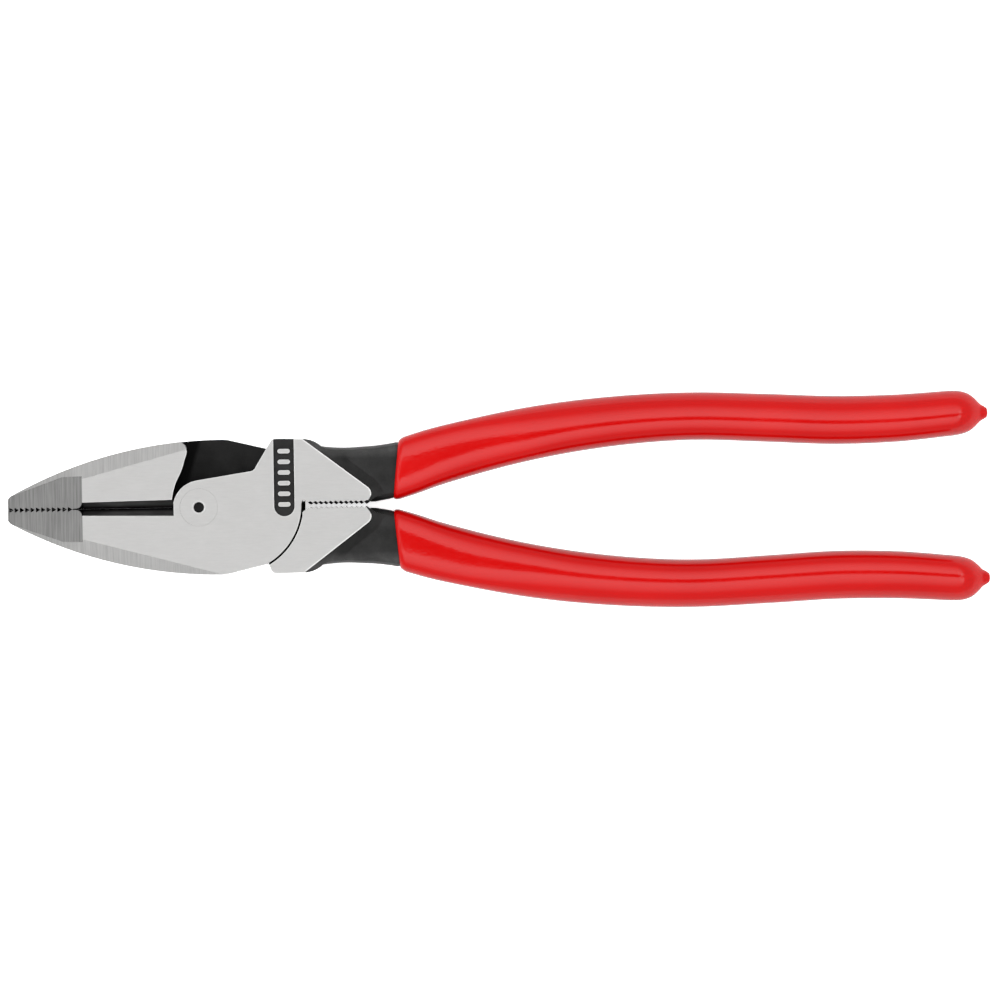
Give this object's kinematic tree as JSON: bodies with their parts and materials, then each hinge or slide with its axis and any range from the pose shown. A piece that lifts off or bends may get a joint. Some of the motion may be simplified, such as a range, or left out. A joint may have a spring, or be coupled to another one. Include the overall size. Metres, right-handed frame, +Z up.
{
  "type": "lineman pliers",
  "caption": "Crossed-lever lineman pliers with tapered gripping jaws, side cutter, pulling teeth behind the joint and dipped handles; the front lever swings open about a flush rivet.",
  "frame": {"origin": "on the rivet axis, in the plane of the head's lower ground face, on which the tool lies", "axes": "+X along the tool from the jaw tips to the handle ends, +Y across it to the front lever's handle, +Z up through the head along the rivet"},
  "size_m": [0.2401, 0.0526, 0.0156],
  "materials": {
    "forged_steel": "ground bright on the head faces, black oxide on the forged handles and recesses",
    "rivet_steel": "ground flush with the head",
    "dipped_grip": "glossy red dipped PVC"
  },
  "bodies": {
    "rear": {"rear_lever": "forged_steel", "rivet": "rivet_steel", "lower_grip": "dipped_grip"},
    "front": {"front_lever": "forged_steel", "upper_grip": "dipped_grip"}
  },
  "joints": [
    {"name": "jaw_pivot", "type": "hinge", "parent": "rear", "child": "front", "pos_m": [0, 0, 0.0078], "axis": [0, 0, 1], "range_deg": [0, 60]}
  ]
}
